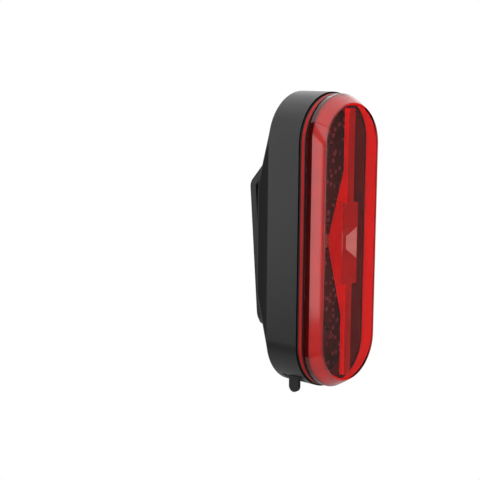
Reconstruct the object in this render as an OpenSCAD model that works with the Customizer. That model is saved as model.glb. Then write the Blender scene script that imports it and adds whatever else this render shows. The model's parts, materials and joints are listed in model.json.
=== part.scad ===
// Rechargeable bicycle rear light with a spring clip on its back.
// Millimetres. +Z is up, -Y is the lens side, +Y is the clip side.
// The origin is on the flat back of the housing, under the clip.

/* [Housing] */
// Overall width of the housing
body_w = 27.2; // [26.6:0.2:30]
// Overall height of the housing
body_h = 80; // [78:1:92]
// Depth of the straight side wall behind the seam
wall_depth = 10.4; // [10:0.1:12]
// Further depth of the raised back
bulge_depth = 5.6; // [5.2:0.1:6.6]
// Width of the flat on the raised back
back_w = 21.6; // [20.8:0.2:22.4]
// Length of the sloped ends of the raised back
slope_in = 17; // [15.5:0.5:18.5]
// Inward taper of the raised back's sides
back_taper = 1.2; // [0.8:0.1:1.6]
// Height of the rounding around the flat back
back_round = 1.8; // [1.2:0.1:2.4]
// Wall thickness at the rim
rim_t = 1.6; // [1.4:0.1:1.7]
// Width of the ledge that carries the board
ledge_w = 0.8; // [0.6:0.1:1]
// Wall thickness of the raised back
back_t = 1.8; // [1.6:0.1:2.2]
// Length of the locking rib under the clip
rib_len = 13; // [10:0.5:16]
// Width of the locking rib
rib_w = 1.3; // [1:0.1:2]
// Height of the locking rib
rib_h = 0.5; // [0.3:0.1:0.6]

/* [Lens] */
// How far the lens stands out in front of the seam
lens_depth = 7.3; // [7:0.1:8.4]
// Width of the flat front face
lens_face_w = 22.2; // [21.4:0.1:22.6]
// Wall thickness of the lens
lens_t = 1.4; // [1.2:0.1:1.5]
// Rounding of the front edge
lens_edge_r = 0.45; // [0.3:0.05:0.6]
// Thickness of the flange
flange_t = 1.3; // [0.8:0.1:1.5]
// How far the flange stays inside the housing's outline
flange_inset = 0.4; // [0.3:0.1:0.6]
// Width of the step on top of the flange
flange_step = 0.75; // [0.6:0.05:0.85]
// Depth of the crease between the two facets, in front of the seam
crease_depth = 3.25; // [3:0.05:3.6]
// How far the crease stays inside the housing's outline
crease_inset = 1.4; // [1.3:0.05:1.6]
// Thickness of the seal in the seam
seal_t = 0.5; // [0.4:0.1:0.8]
// Thickness of the skirt that clamps the board
skirt_t = 1.1; // [0.9:0.1:1.2]

/* [Light guide] */
// Thickness of the rib
guide_t = 2.8; // [2.4:0.1:3.2]
// Height of the rib's ends, front to back
guide_end_h = 1.4; // [1.2:0.1:1.8]
// Length of the rib
guide_len = 69; // [64:0.5:70]
// Half the length over which the rib deepens to the lamp
guide_v = 21.5; // [18:0.5:24]
// Width of the tapered block over the lamp
block_w = 6.8; // [6.4:0.1:7.4]
// Height of the block over the lamp
block_h = 22; // [20:0.5:24]
// Depth over which the block tapers to the rib
block_depth = 3.5; // [3:0.1:4]
// Mouth of the pyramid notch, up and down
notch_h = 8.5; // [8:0.1:9.4]
// Edge left beside the notch's mouth
notch_edge = 0.2; // [0.15:0.05:0.4]
// Depth of the pyramid notch
notch_depth = 2.5; // [2:0.1:2.7]
// Diameter of the guide's pins
pin_d = 1.8; // [1.6:0.1:2]
// Clearance between the pins and the lamp
pin_clear = 0.9; // [0.6:0.1:1.5]

/* [Board] */
// Depth of the board's front face behind the seam
board_drop = 2.2; // [2:0.1:2.4]
// Thickness of the board
board_t = 1.2; // [1:0.1:1.4]
// Width of the lamp
led_w = 2.8; // [2.4:0.1:3.2]
// Height of the lamp
led_h = 3.5; // [3:0.1:4]
// How far the lamp stands out of the board
led_t = 1.3; // [1:0.1:1.4]
// Clearance between the switch and the head of a board screw
screw_clear = 2.7; // [2.4:0.1:3]
// Diameter of a screw's shank
screw_d = 1.9; // [1.7:0.1:2]
// Length of a screw's shank
screw_len = 5; // [4.5:0.5:5.5]
// Diameter of a screw's head
screw_head_d = 3.6; // [3.2:0.1:3.8]
// Height of a screw's head
screw_head_t = 1.2; // [1:0.1:1.4]
// Diameter of the screw bosses
boss_d = 4.4; // [4.2:0.1:4.6]
// Length of a small chip part
smd_l = 1.6; // [1.4:0.1:1.8]
// Width of a small chip part
smd_w = 0.8; // [0.7:0.1:1]
// Height of a small chip part
smd_t = 0.6; // [0.4:0.1:0.8]
// Distance of the nearest chip parts from a screw's middle
smd_gap = 2.5; // [2.4:0.1:3]
// Spacing of the rows of chip parts
smd_pitch = 3.5; // [2.6:0.1:3.6]
// Distance of the outer chip parts from the board's edge
smd_in = 4.1; // [3.6:0.1:4.4]
// Spacing of the two columns of chip parts
smd_dx = 2.6; // [2.2:0.1:2.8]
// Side of the driver chip
driver_w = 3; // [2.6:0.1:3.4]
// Distance of the driver chip's middle from the board's edge
driver_in = 4.5; // [4:0.1:4.8]
// Distance of the driver chip below the lamp's middle
driver_drop = 5.5; // [5:0.1:6]
// Height of the driver chip
driver_t = 0.9; // [0.7:0.1:1]
// Side of the charger chip
charger_w = 4; // [3.6:0.1:4.2]
// Distance of the charger chip from the screw boss, side to side
charger_gap = 1.2; // [0.8:0.1:1.6]
// Height of the charger chip's middle above the lower screw
charger_up = 4; // [3.5:0.1:4.5]
// Height of the charger chip
charger_t = 1; // [0.8:0.1:1.2]
// Width of the battery connector
plug_w = 6; // [5.6:0.1:6.4]
// Length of the battery connector
plug_l = 3.6; // [3.4:0.1:3.8]
// Height of the battery connector
plug_t = 2.5; // [2.3:0.1:2.7]

/* [Battery] */
// Width of the cell
cell_w = 17; // [15:0.5:17.5]
// Clearance between the cell and the lower screw boss
cell_end = 2.5; // [1.5:0.5:7]
// Thickness of the cell
cell_t = 6.6; // [6:0.1:7]
// Corner rounding of the cell
cell_r = 1.5; // [1:0.1:2]
// Clearance between the cell and the pocket of the clip
cell_clear = 1.8; // [1.6:0.1:2.5]
// Thickness of the foam pad behind the cell
foam_t = 1.2; // [1:0.1:1.5]
// How far the foam pad stays inside the cell's sides
foam_side = 2.5; // [2:0.5:4]
// How far the foam pad stays inside the cell's ends
foam_end = 5.5; // [4:0.5:8]
// Diameter of a battery lead
lead_d = 1.1; // [0.9:0.1:1.2]
// Spacing of the two leads
lead_gap = 2.5; // [2:0.1:3]

/* [Button] */
// Width of the button
button_w = 9.7; // [9.2:0.1:10.2]
// Height of the button
button_h = 8.2; // [7.8:0.1:8.4]
// Gap around the button
button_gap = 0.45; // [0.35:0.05:0.5]
// Distance of the button's centre from the top end
button_drop = 8; // [7.8:0.1:8.4]
// Press travel of the button
button_travel = 0.6; // [0.4:0.1:0.7]
// Wall around the button's hole
collar_t = 1.5; // [1.4:0.05:1.6]
// Width of the rim that keeps the button in
button_rim = 0.85; // [0.7:0.05:0.9]
// Diameter of the button's stem
stem_d = 3.6; // [3.2:0.1:4]
// Side of the switch body
switch_w = 6; // [5.6:0.1:6.2]
// Height of the switch body
switch_t = 3.5; // [3.2:0.1:3.7]
// Diameter of the switch plunger
plunger_d = 3; // [2.6:0.1:3.2]

/* [Clip] */
// Width of the clip
clip_w = 16.5; // [15.5:0.1:17]
// Thickness of the clip
clip_t = 2; // [1.8:0.1:2.2]
// How far the clip's root axis lies beyond the flat back
root_over = 0.2; // [-0.2:0.1:0.4]
// Depth of the clip's root axis below the flat back
root_depth = 3; // [2.9:0.1:3.2]
// Radius of the clip's root
root_r = 1.9; // [1.7:0.1:2]
// Distance of the bend below the root axis
bend_drop = 8.7; // [8.2:0.1:9.7]
// Distance of the bend's middle line from the flat back
bend_out = 4.7; // [4.5:0.1:4.9]
// Outer radius of the bend
bend_r = 3; // [2:0.1:4]
// Length of the clip below the origin
tip_z = 25.4; // [23:0.1:27]
// Distance of the tip's middle line from the flat back
tip_out = 1.45; // [1.4:0.05:1.8]
// Corner rounding at the tip
tip_r = 4.5; // [3:0.1:6]
// Width of the shallow recess
recess_w = 6.8; // [6:0.1:7.6]
// Length of the shallow recess
recess_l = 26.4; // [24:0.2:27]
// Depth of the shallow recess
recess_t = 0.7; // [0.4:0.1:0.9]
// Middle of the recess below the bend
recess_drop = 19.6; // [19:0.1:20]
// Width of the slot
slot_w = 3.9; // [3:0.1:4.6]
// Length of the slot
slot_l = 17; // [14:0.2:18]
// Middle of the slot below the bend
slot_drop = 22.4; // [22:0.1:22.8]
// Diameter of the dimple at the bend
dimple_d = 3.4; // [2.8:0.1:4]
// Height of the raised pad at the tip
pad_h = 0.3; // [0.2:0.05:0.5]
// Length of the raised pad at the tip
pad_l = 4.6; // [3.6:0.1:5]

/* [Charging port] */
// Width of the socket's shell
socket_w = 8.9; // [8.7:0.1:9.1]
// Height of the socket's shell
socket_h = 3.2; // [3:0.1:3.4]
// Length of the socket's shell
socket_l = 7.3; // [6.8:0.1:7.6]
// Sheet thickness of the socket's shell
socket_t = 0.3; // [0.25:0.05:0.35]
// Width of the socket's tongue
tongue_w = 6.6; // [6.2:0.1:6.8]
// Thickness of the socket's tongue
tongue_t = 0.7; // [0.6:0.05:0.8]
// Width of the rubber cover, front to back
cover_w = 6; // [5.6:0.1:6.4]
// Thickness of the rubber cover
cover_t = 1.2; // [1.1:0.1:1.3]
// Half angle that the cover spans along the bottom
cover_angle = 37; // [36:0.5:38]
// Radius of the bead on which the cover swings
bead_r = 0.6; // [0.5:0.05:0.65]
// Width of the pull tab, front to back
tab_w = 3.3; // [2.8:0.1:3.8]
// Thickness of the pull tab
tab_t = 1; // [0.8:0.1:1.2]
// Length of the pull tab, from the cover to its round end
tab_l = 4.5; // [3.6:0.1:5.4]
// Length of the cover's plug
plug_boss_l = 1.2; // [0.9:0.1:1.3]

/* [Fits] */
// Clearance between moving pieces
gap = 0.3; // [0.25:0.05:0.35]
// Radial running clearance of round seats
run = 0.06; // [0.04:0.01:0.09]
// Clearance around pieces that are only put in place
place = 0.15; // [0.1:0.05:0.2]

/* [Hidden] */
body_r = body_w / 2;
straight = body_h - body_w;
end_z = straight / 2;
y_seam = -(wall_depth + bulge_depth);
y_wall = -bulge_depth;
board_front = y_seam + board_drop;
board_back = board_front + board_t;
pin_z = led_h / 2 + pin_clear + pin_d / 2;
cavity_r = body_r - rim_t;
well_r = cavity_r - ledge_w;
board_r = cavity_r - gap;
y_face = y_seam - lens_depth;
button_z = body_h / 2 - button_drop;
back_h = body_h - 2 * slope_in;
screw_dz = 2 * (button_z - switch_w / 2 - screw_head_d / 2 - screw_clear);
stem_y = board_back + switch_t + button_travel + gap + 0.2;
rim_y = stem_y + 1.1;
collar_y = rim_y + 0.1;
port_y = board_back + socket_h / 2;
cover_r = body_r - cover_t / 2;
hinge_x = cover_r * sin(cover_angle);
hinge_z = -end_z - cover_r * cos(cover_angle);
mouth_z = -end_z - sqrt(pow(body_r - cover_t, 2) - pow(socket_w / 2, 2)) + gap;
port_r = well_r - 0.8;
boss_y = bulge_depth * min(0, (body_h / 2 - screw_dz / 2 - boss_d / 2) / slope_in - 1) - 0.8;
root_z = back_h / 2 + root_over;
bend_z = root_z - bend_drop;
shoulder = atan2(bend_drop, bend_out + root_depth);
plate_tilt = atan2(bend_out - tip_out, bend_z + tip_z);
plate_l = sqrt(pow(bend_out - tip_out, 2) + pow(bend_z + tip_z, 2));
half_t = clip_t / 2;
pocket_low = root_z - (root_depth + root_r + 0.2) * tan(shoulder + 2);
block_x = clip_w + 2 * gap + 4.1;
block_y = -root_depth - root_r - 1.5;
block_l = root_z + root_r + 1.3 - pocket_low;
block_z = pocket_low + block_l / 2;
port_angle = cover_angle + 9;
lock_z = bend_z - slot_drop * cos(plate_tilt) - 0.7;
cell_top = pocket_low - cell_clear;
cell_l = cell_top + screw_dz / 2 - boss_d / 2 - cell_end;
foam_w = cell_w - 2 * foam_side;
foam_l = cell_l - 2 * foam_end;
smd_rows = [for (s = [-1, 1]) each [s * (screw_dz / 2 + smd_gap), s * (screw_dz / 2 + smd_gap + smd_pitch),
  s * (screw_dz / 2 - smd_gap - smd_pitch), s * (screw_dz / 2 - smd_gap - 2 * smd_pitch)]];
smd_x = board_r - smd_in;
fine = 64;
back_steps = 28;

// Point at a distance and an angle from a centre
function polar(c, r, a) = [c[0] + r * cos(a), c[1] + r * sin(a)];

// Points of a round-ended outline, wide along x and long along y
function round_end_pts(w, h, n) = concat(
  [for (i = [0 : n]) [w / 2 * cos(180 * i / n), (h - w) / 2 + w / 2 * sin(180 * i / n)]],
  [for (i = [0 : n]) [-w / 2 * cos(180 * i / n), -(h - w) / 2 - w / 2 * sin(180 * i / n)]]);

// Points of an oval outline
function oval_pts(w, h) = [for (i = [0 : 47]) [w / 2 * cos(7.5 * i), h / 2 * sin(7.5 * i)]];

// A ring profile carried around the round-ended outline; x is the distance from its middle line
module turn_ring(pts, len) {
  translate([0, 0, -len / 2]) linear_extrude(len) polygon(pts);
  translate([0, 0, -len / 2]) linear_extrude(len) mirror([1, 0]) polygon(pts);
  for (s = [0, 1]) mirror([0, 0, s]) translate([0, 0, -len / 2])
    rotate([-90, 0, 0]) rotate_extrude(angle = 180, $fn = fine) polygon(pts);
}

// A solid profile carried around the outline; its first and last points lie on the middle line
module turn_solid(pts, len) {
  n = len(pts);
  whole = concat(pts, [for (i = [n - 2 : -1 : 1]) [-pts[i][0], pts[i][1]]]);
  translate([0, 0, -len / 2]) linear_extrude(len) polygon(whole);
  for (s = [0, 1]) mirror([0, 0, s]) translate([0, 0, -len / 2])
    rotate([-90, 0, 0]) rotate_extrude(angle = 180, $fn = fine) polygon(pts);
}

// A shape drawn in y and z, extruded across x
module across(w) {
  translate([-w / 2, 0, 0]) rotate([90, 0, 90]) linear_extrude(w) children();
}

// A shape drawn in x and z, extruded along y from one depth to another
module along(y0, y1) {
  translate([0, y1, 0]) rotate([90, 0, 0]) linear_extrude(y1 - y0) children();
}

// A round rod along y
module rod_y(d, y0, y1) {
  translate([0, y1, 0]) rotate([90, 0, 0]) cylinder(d = d, h = y1 - y0, $fn = fine);
}

// A box given by its middle in x and z and its depths in y
module chip(x, z, w, h, y0, y1) {
  translate([x - w / 2, y0, z - h / 2]) cube([w, y1 - y0, h]);
}

// A flat round-ended prism along z, wide along x and thick along y
module tongue_z(w, t, z0, z1) {
  translate([0, 0, z0]) linear_extrude(z1 - z0) {
    square([w - t, t], center = true);
    for (s = [-1, 1]) translate([s * (w - t) / 2, 0]) circle(d = t, $fn = fine);
  }
}

// Side inset and end inset of the raised back at each step of its height
function side_in(a) = back_taper + ((body_w - back_w) / 2 - back_taper) * (1 - cos(a));
function step_y(a) = -back_round * (1 - sin(a));
function end_in(y) = slope_in * (1 + y / bulge_depth);

// The raised back as a solid, shrunk by a wall thickness
module raised_back(t) {
  w0 = body_w - 0.1 - 2 * t * (rim_t + ledge_w) / back_t;
  h0 = body_h - 0.1 - 2 * t * (rim_t + ledge_w) / back_t;
  hull() {
    along(y_wall - 0.3 * (t + 1), y_wall - 0.3 * t) polygon(round_end_pts(w0, h0, back_steps));
    for (a = [0 : 15 : 90]) {
      y = step_y(a);
      w = body_w - 2 * side_in(a) - 2 * t;
      h = body_h - 2 * end_in(y) - 1.4 * t;
      along(y - t - 0.02, y - t) polygon(round_end_pts(w, h, back_steps));
    }
  }
}

// The space that the clip's root and shoulder need
module clip_pocket() {
  a = [-root_depth, root_z];
  up = polar(a, half_t + 0.35, 90 - shoulder + 14);
  low = polar(a, half_t + 0.35, -90 - shoulder);
  across(clip_w + 2 * gap) polygon([
    a, up, polar(up, 12, 14 - shoulder), polar(low, 12, -shoulder - 2), low]);
  translate([-clip_w / 2 - gap, a[0], a[1]]) rotate([0, 90, 0])
    cylinder(r = root_r + run, h = clip_w + 2 * gap, $fn = fine);
}

// Round strip along the bottom end, between two radii, two depths and two angles
module bottom_strip(r0, r1, y0, y1, a0, a1) {
  translate([0, y1, -end_z]) rotate([90, 0, 0])
    rotate([0, 0, -90 + a0]) rotate_extrude(angle = a1 - a0, $fn = 96)
    translate([r0, 0]) square([r1 - r0, y1 - y0]);
}

module bead(r, w) {
  translate([hinge_x, port_y - w / 2, hinge_z]) rotate([-90, 0, 0])
    cylinder(r = r, h = w, $fn = fine);
}

module rear_housing() {
  color([0.05, 0.05, 0.055]) difference() {
    union() {
      turn_ring([[cavity_r, y_seam], [body_r, y_seam], [body_r, y_wall], [well_r, y_wall],
        [well_r, board_back], [cavity_r, board_back]], straight);
      difference() {
        raised_back(0);
        raised_back(back_t);
      }
      chip(0, block_z, block_x, block_l, block_y, block_y + 1.4);
      intersection() {
        chip(0, block_z, block_x - 0.4, block_l - 0.4, block_y + 0.4, 1);
        raised_back(0.6);
      }
      for (s = [-1, 1]) translate([0, 0, s * screw_dz / 2]) rod_y(boss_d, board_back, boss_y);
      translate([0, 0, button_z]) along(collar_y, y_wall + 0.4)
        polygon(oval_pts(button_w + 2 * (button_gap + collar_t), button_h + 2 * (button_gap + collar_t)));
      intersection() {
        translate([0, 0, button_z]) along(y_wall - 0.3, 1)
          polygon(oval_pts(button_w + 2 * (button_gap + collar_t) - 0.2,
            button_h + 2 * (button_gap + collar_t) - 0.2));
        raised_back(0.6);
      }
      bottom_strip(port_r, cavity_r + 0.2, board_front + 0.02, y_wall - 1, -port_angle, port_angle);
      for (s = [-1, 1]) chip(s * (cell_w / 2 + 0.9), cell_top - cell_l / 2, 0.8, foam_l,
        -back_t - 1.4, -back_t + 0.2);
      chip(0, lock_z, rib_w, rib_len, -0.4, rib_h);
    }
    clip_pocket();
    translate([0, 0, button_z]) along(board_back, 1)
      polygon(oval_pts(button_w + 2 * button_gap, button_h + 2 * button_gap));
    translate([0, 0, button_z]) along(board_back, collar_y)
      polygon(oval_pts(button_w + 2 * button_rim + 2 * gap, button_h + 2 * button_rim + 2 * gap));
    for (s = [-1, 1]) translate([0, 0, s * screw_dz / 2])
      rod_y(screw_d + 0.1, board_back - 1, board_back + screw_len);
    translate([0, port_y, 0]) tongue_z(socket_w + 2 * place, socket_h + 2 * place, -50, -end_z - 8);
    bottom_strip(body_r - cover_t - gap, body_r + 4, port_y - cover_w / 2 - gap,
      port_y + cover_w / 2 + gap, -cover_angle - 6, cover_angle);
    bead(bead_r + run, cover_w + 2 * gap);
    bottom_strip(cover_r, body_r + 4, port_y - cover_w / 2 - gap, port_y + cover_w / 2 + gap,
      cover_angle - 1, cover_angle + 5);
  }
}

module front_lens() {
  r1 = body_r - flange_inset;
  y1 = y_seam - seal_t;
  y2 = y1 - flange_t;
  rc = body_r - crease_inset;
  yc = y_seam - crease_depth;
  rf = lens_face_w / 2;
  rs = cavity_r - place;
  color([0.75, 0.03, 0.03, 0.5]) difference() {
    union() {
      turn_solid(concat([[0, y1], [r1, y1], [r1, y2], [r1 - flange_step, y2], [rc, yc],
        [rf, y_face + lens_edge_r], [rf - 0.3 * lens_edge_r, y_face + 0.3 * lens_edge_r],
        [rf - lens_edge_r, y_face]], [[0, y_face]]), straight);
      turn_ring([[rs - skirt_t, y1 - 0.3], [rs, y1 - 0.3], [rs, board_front],
        [rs - skirt_t, board_front]], straight);
    }
    turn_solid([[0, y1 + 1], [rs - skirt_t, y1 + 1], [rs - skirt_t, y2], [rc - lens_t, yc],
      [rf - lens_t, y_face + lens_t], [0, y_face + lens_t]], straight);
  }
}

module lens_seal() {
  r0 = cavity_r + 0.05;
  r1 = body_r - flange_inset - 0.1;
  color([0.03, 0.03, 0.03]) turn_ring([[r0, y_seam - seal_t], [r1, y_seam - seal_t],
    [r1, y_seam], [r0, y_seam]], straight);
}

module light_guide() {
  front = y_face + lens_t + 0.2;
  back = front + guide_end_h;
  apex = board_front - led_t - 0.3;
  side = [[front, -guide_len / 2], [back, -guide_len / 2], [back, -guide_v], [apex, -led_h / 2],
    [apex, led_h / 2], [back, guide_v], [back, guide_len / 2], [front, guide_len / 2]];
  foot = notch_depth - 0.02;
  notch_w = block_w - 2 * notch_edge;
  color([0.9, 0.6, 0.55, 0.8]) difference() {
    union() {
      across(guide_t) polygon(side);
      translate([0, 0, -block_h / 2]) linear_extrude(block_h) polygon([
        [-block_w / 2, front], [block_w / 2, front],
        [guide_t / 2 - 0.1, front + block_depth], [0.1 - guide_t / 2, front + block_depth]]);
      for (s = [-1, 1]) translate([0, 0, s * pin_z]) rod_y(pin_d, front + block_depth, board_back + 0.5);
    }
    intersection() {
      across(block_w + 2) polygon([[front - 1, -notch_h / 2 - 1], [front - 1, notch_h / 2 + 1],
        [front + foot, notch_h / 2 - foot], [front + foot, -notch_h / 2 + foot]]);
      translate([0, 0, -notch_h]) linear_extrude(2 * notch_h) polygon([[-notch_w / 2 - 1, front - 1],
        [notch_w / 2 + 1, front - 1], [notch_w / 2 - foot, front + foot],
        [-notch_w / 2 + foot, front + foot]]);
    }
  }
}

module main_board() {
  color([0.03, 0.05, 0.04]) difference() {
    turn_solid([[0, board_front], [board_r, board_front], [board_r, board_back], [0, board_back]],
      straight);
    for (s = [-1, 1]) translate([0, 0, s * screw_dz / 2])
      rod_y(screw_d + 0.4, board_front - 1, board_back + 1);
    bottom_strip(port_r - gap, body_r, board_front - 1, board_back + 1, -port_angle - 4, port_angle + 4);
    for (s = [-1, 1]) translate([0, 0, s * pin_z]) rod_y(pin_d + 0.2, board_front - 1, board_back + 1);
  }
}

module led_emitter() {
  color([0.95, 0.92, 0.8]) difference() {
    chip(0, 0, led_w, led_h, board_front - led_t, board_front);
    translate([0, board_front - led_t + 0.3, 0]) rotate([90, 0, 0])
      cylinder(d1 = led_w - 1, d2 = led_w - 0.3, h = 0.4, $fn = 32);
  }
}

module board_resistors() {
  color([0.1, 0.1, 0.12]) for (z = smd_rows)
    chip(-smd_x, z, smd_w, smd_l, board_front - smd_t, board_front);
}

module board_capacitors() {
  color([0.62, 0.47, 0.3]) for (z = smd_rows)
    chip(smd_dx - smd_x, z, smd_l, smd_w, board_front - smd_t, board_front);
}

module driver_chip() {
  color([0.08, 0.08, 0.08]) chip(driver_in - board_r, -driver_drop, driver_w, driver_w,
    board_front - driver_t, board_front);
}

module charger_chip() {
  color([0.08, 0.08, 0.08]) chip(-(boss_d + charger_w) / 2 - charger_gap, charger_up - screw_dz / 2,
    charger_w, charger_w, board_back, board_back + charger_t);
}

module battery_connector() {
  z = cell_top + 2.4 + plug_l / 2;
  color([0.9, 0.88, 0.82]) difference() {
    chip(0, z, plug_w, plug_l, board_back, board_back + plug_t);
    chip(0, z + plug_l / 2, plug_w - 1.2, 1.2, board_back + 0.7, board_back + plug_t - 0.5);
  }
}

module battery_cell() {
  y1 = -back_t - foam_t;
  color([0.72, 0.73, 0.75]) translate([0, 0, cell_top - cell_l]) linear_extrude(cell_l)
    translate([-cell_w / 2, y1 - cell_t]) union() {
      translate([cell_r, 0]) square([cell_w - 2 * cell_r, cell_t]);
      translate([0, cell_r]) square([cell_w, cell_t - 2 * cell_r]);
      for (x = [cell_r, cell_w - cell_r], y = [cell_r, cell_t - cell_r])
        translate([x, y]) circle(r = cell_r, $fn = fine);
    }
}

module battery_pad() {
  color([0.2, 0.2, 0.2]) chip(0, cell_top - cell_l / 2, foam_w, foam_l, -back_t - foam_t, -back_t);
}

// A lead from the cell's top end to the connector, with two round corners
module battery_lead(x) {
  y0 = -back_t - foam_t - cell_t + 2.2;
  y1 = board_back + plug_t / 2;
  z1 = cell_top + 1.15;
  translate([x, y0, cell_top]) cylinder(d = lead_d, h = z1 - cell_top, $fn = 24);
  translate([x, y0, z1]) sphere(d = lead_d, $fn = 24);
  translate([x, y0, z1]) rotate([90, 0, 0]) cylinder(d = lead_d, h = y0 - y1, $fn = 24);
  translate([x, y1, z1]) sphere(d = lead_d, $fn = 24);
  translate([x, y1, z1]) cylinder(d = lead_d, h = cell_top + 2.4 - z1, $fn = 24);
}

module battery_lead_red() {
  color([0.7, 0.05, 0.05]) battery_lead(-lead_gap / 2);
}

module battery_lead_black() {
  color([0.04, 0.04, 0.04]) battery_lead(lead_gap / 2);
}

module charge_socket() {
  color([0.75, 0.76, 0.78]) translate([0, port_y, 0]) difference() {
    tongue_z(socket_w, socket_h, mouth_z, mouth_z + socket_l);
    tongue_z(socket_w - 2 * socket_t, socket_h - 2 * socket_t, mouth_z - 1, mouth_z + socket_l - 0.8);
  }
}

module socket_tongue() {
  z0 = mouth_z + plug_boss_l + 0.6;
  color([0.05, 0.05, 0.05]) translate([-tongue_w / 2, port_y - tongue_t / 2, z0])
    cube([tongue_w, tongue_t, mouth_z + socket_l - 0.8 - z0]);
}

module port_cover() {
  boss_w = socket_w - 2 * socket_t - 2 * gap;
  boss_h = socket_h - 2 * socket_t - 2 * gap;
  color([0.04, 0.04, 0.04]) difference() {
    union() {
      bottom_strip(body_r - cover_t, body_r - 0.05, port_y - cover_w / 2, port_y + cover_w / 2,
        -cover_angle - 4, cover_angle);
      bead(bead_r, cover_w - 0.4);
      translate([0, port_y, 0])
        tongue_z(boss_w, boss_h, -end_z - body_r + 0.75 * cover_t, mouth_z + plug_boss_l);
      translate([-hinge_x - tab_t / 2, port_y, 0]) rotate([90, 0, 90]) linear_extrude(tab_t) {
        translate([-tab_w / 2, hinge_z - tab_l + tab_w / 2]) square([tab_w, tab_l - tab_w / 2]);
        translate([0, hinge_z - tab_l + tab_w / 2]) circle(d = tab_w, $fn = fine);
      }
    }
    translate([0, port_y, mouth_z + plug_boss_l - 0.4]) cube([6, 0.4, 1], center = true);
  }
}

module tact_switch() {
  color([0.1, 0.1, 0.1]) difference() {
    chip(0, button_z, switch_w, switch_w, board_back, board_back + switch_t);
    translate([0, 0, button_z]) rod_y(plunger_d + 2 * run, board_back + 1, board_back + 6);
  }
}

module switch_plunger() {
  color([0.25, 0.25, 0.25]) translate([0, 0, button_z])
    rod_y(plunger_d, board_back + 1 + button_travel + gap, stem_y);
}

module power_button() {
  color([0.06, 0.06, 0.065]) {
    intersection() {
      translate([0, 0, button_z]) along(rim_y - 0.5, 1) polygon(oval_pts(button_w, button_h));
      raised_back(0);
    }
    translate([0, 0, button_z]) along(rim_y - 1, rim_y)
      polygon(oval_pts(button_w + 2 * button_rim, button_h + 2 * button_rim));
    translate([0, 0, button_z]) along(rim_y - 1, y_wall + 0.5) polygon(oval_pts(button_w, button_h));
    translate([0, 0, button_z]) rod_y(stem_d, stem_y, rim_y - 0.5);
  }
}

// Side shape of the clip, in y and z, from its root over the bend to its tip
module clip_side() {
  a = [-root_depth, root_z];
  b = [bend_out, bend_z];
  t = [tip_out, -tip_z];
  n1 = 90 - shoulder;
  n2 = -plate_tilt;
  half = (n1 - n2) / 2;
  c = polar(b, (half_t - bend_r) / cos(half), (n1 + n2) / 2);
  polygon(concat([polar(a, half_t, n1)],
    [for (i = [0 : 8]) polar(c, bend_r, n1 + (n2 - n1) * i / 8)],
    [polar(t, half_t, n2), polar(t, -half_t * 0.8, n2), polar(b, -half_t / cos(half), (n1 + n2) / 2),
      polar(a, -half_t, n1)]));
}

// Outline of the clip seen from behind, with its tip corners rounded
module clip_outline() {
  w = clip_w / 2;
  polygon(concat([[w, 40], [-w, 40]],
    [for (i = [0 : 8]) polar([tip_r - w, tip_r - tip_z], tip_r, 180 + 11.25 * i)],
    [for (i = [0 : 8]) polar([w - tip_r, tip_r - tip_z], tip_r, 270 + 11.25 * i)]));
}

// The clip plate's own frame: origin at the bend, z up along the plate, y out of it
module on_plate() {
  translate([0, bend_out, bend_z]) rotate([-plate_tilt, 0, 0]) children();
}

module slot_shape(w, l) {
  square([w, l - w], center = true);
  for (s = [-1, 1]) translate([0, s * (l - w) / 2]) circle(d = w, $fn = fine);
}

module belt_clip() {
  ball = dimple_d * 0.62;
  color([0.04, 0.04, 0.045]) difference() {
    union() {
      intersection() {
        union() {
          across(clip_w + 1) clip_side();
          on_plate() chip(0, pad_l / 2 + 0.6 - plate_l, clip_w - 2.4, pad_l, half_t - 0.3, half_t + pad_h);
        }
        along(-20, 20) clip_outline();
      }
      translate([-clip_w / 2, -root_depth, root_z]) rotate([0, 90, 0])
        cylinder(r = root_r, h = clip_w, $fn = fine);
    }
    on_plate() translate([0, 0, -recess_drop]) along(half_t - recess_t, half_t + 2)
      slot_shape(recess_w, recess_l);
    on_plate() translate([0, 0, -slot_drop]) along(-half_t - 2, half_t + 2) slot_shape(slot_w, slot_l);
    on_plate() translate([0, half_t + ball * 0.58, 0.6]) sphere(r = ball, $fn = 48);
  }
}

module board_screws() {
  color([0.15, 0.15, 0.16]) for (s = [-1, 1]) translate([0, 0, s * screw_dz / 2]) difference() {
    union() {
      rod_y(screw_head_d, board_front - screw_head_t, board_front);
      rod_y(screw_d, board_front - 0.5, board_back + screw_len - 0.5);
    }
    for (a = [0, 90]) rotate([0, a, 0]) translate([-0.25, board_front - screw_head_t - 1, -1])
      cube([0.5, 1.6, 2]);
  }
}

rear_housing();
front_lens();
lens_seal();
light_guide();
main_board();
led_emitter();
board_resistors();
board_capacitors();
driver_chip();
charger_chip();
battery_connector();
battery_cell();
battery_pad();
battery_lead_red();
battery_lead_black();
charge_socket();
socket_tongue();
port_cover();
tact_switch();
switch_plunger();
power_button();
belt_clip();
board_screws();
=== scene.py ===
"""Looks of a clip-on bicycle rear light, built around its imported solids.

Every piece is made by an operator that a maker could also press in the sidebar.
All sizes are in metres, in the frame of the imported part: the lens looks to -Y,
the clip is on the +Y side and +Z is up.
"""

import json
import math

import bmesh
import bpy
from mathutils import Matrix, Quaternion, Vector
from mathutils.bvhtree import BVHTree
from mathutils.interpolate import poly_3d_calc

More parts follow.
